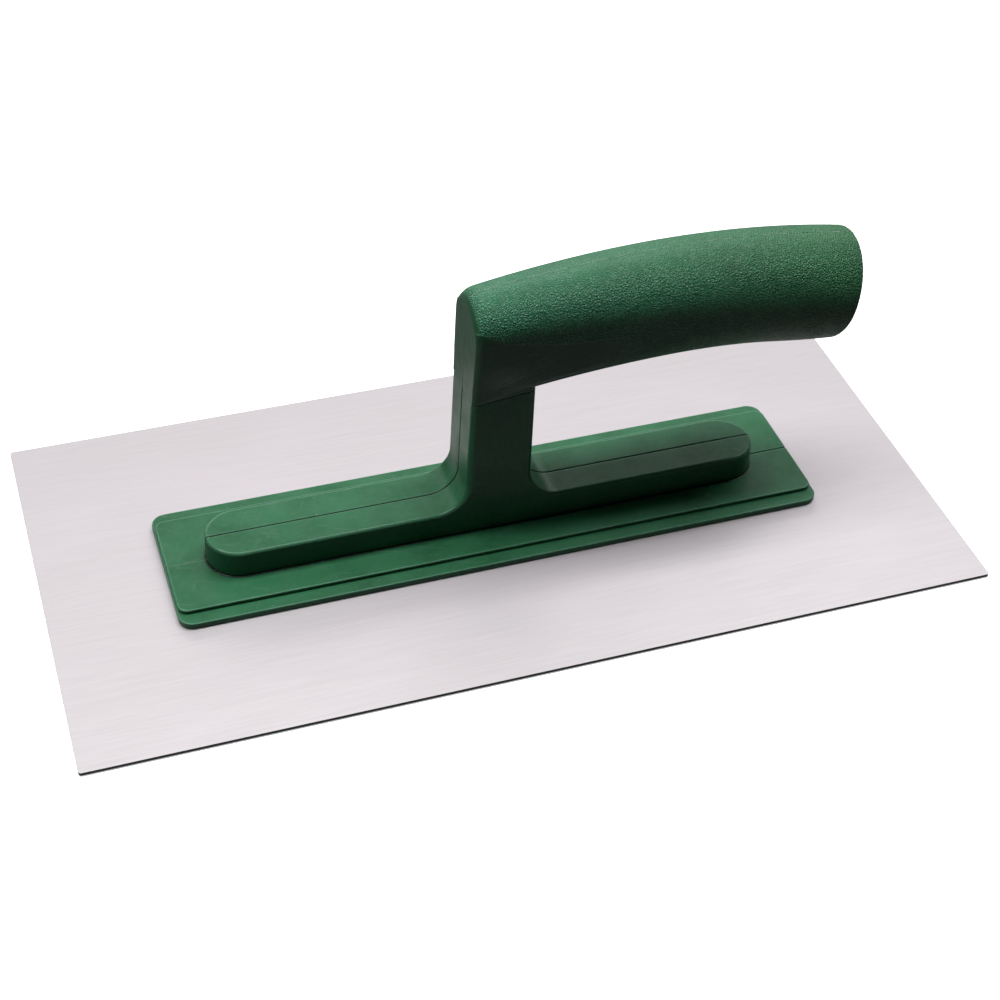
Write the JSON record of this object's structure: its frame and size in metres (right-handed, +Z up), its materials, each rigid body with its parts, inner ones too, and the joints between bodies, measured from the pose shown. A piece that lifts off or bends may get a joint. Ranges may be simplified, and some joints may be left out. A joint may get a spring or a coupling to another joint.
{
  "type": "finishing trowel",
  "caption": "Rectangular stainless finishing trowel with a long moulded handle foot, an upright post and an arched grip above the blade.",
  "frame": {"origin": "centre of the blade's underside, which is its working face", "axes": "+X along the blade towards the free end of the grip, +Y across the blade, +Z up from the working face"},
  "size_m": [0.28, 0.14, 0.0922],
  "materials": {
    "blade_steel": "stainless sheet, finely brushed along its length",
    "plate_plastic": "satin moulded plastic",
    "handle_plastic": "satin moulded plastic",
    "grip_plastic": "fine leather-grain moulded plastic",
    "plug_plastic": "satin moulded plastic",
    "rivet_steel": "ground flush",
    "zinc_steel": "bright zinc",
    "insert_brass": "turned and knurled"
  },
  "bodies": {
    "root": {"blade": "blade_steel", "mounting_plate": "plate_plastic", "handle_foot": "handle_plastic", "handle_grip": "grip_plastic", "grip_end_plug": "plug_plastic", "handle_bolt": "zinc_steel", "bolt_washer": "zinc_steel", "threaded_insert": "insert_brass", "blade_rivets": "rivet_steel", "plate_screws": "zinc_steel"}
  },
  "joints": []
}
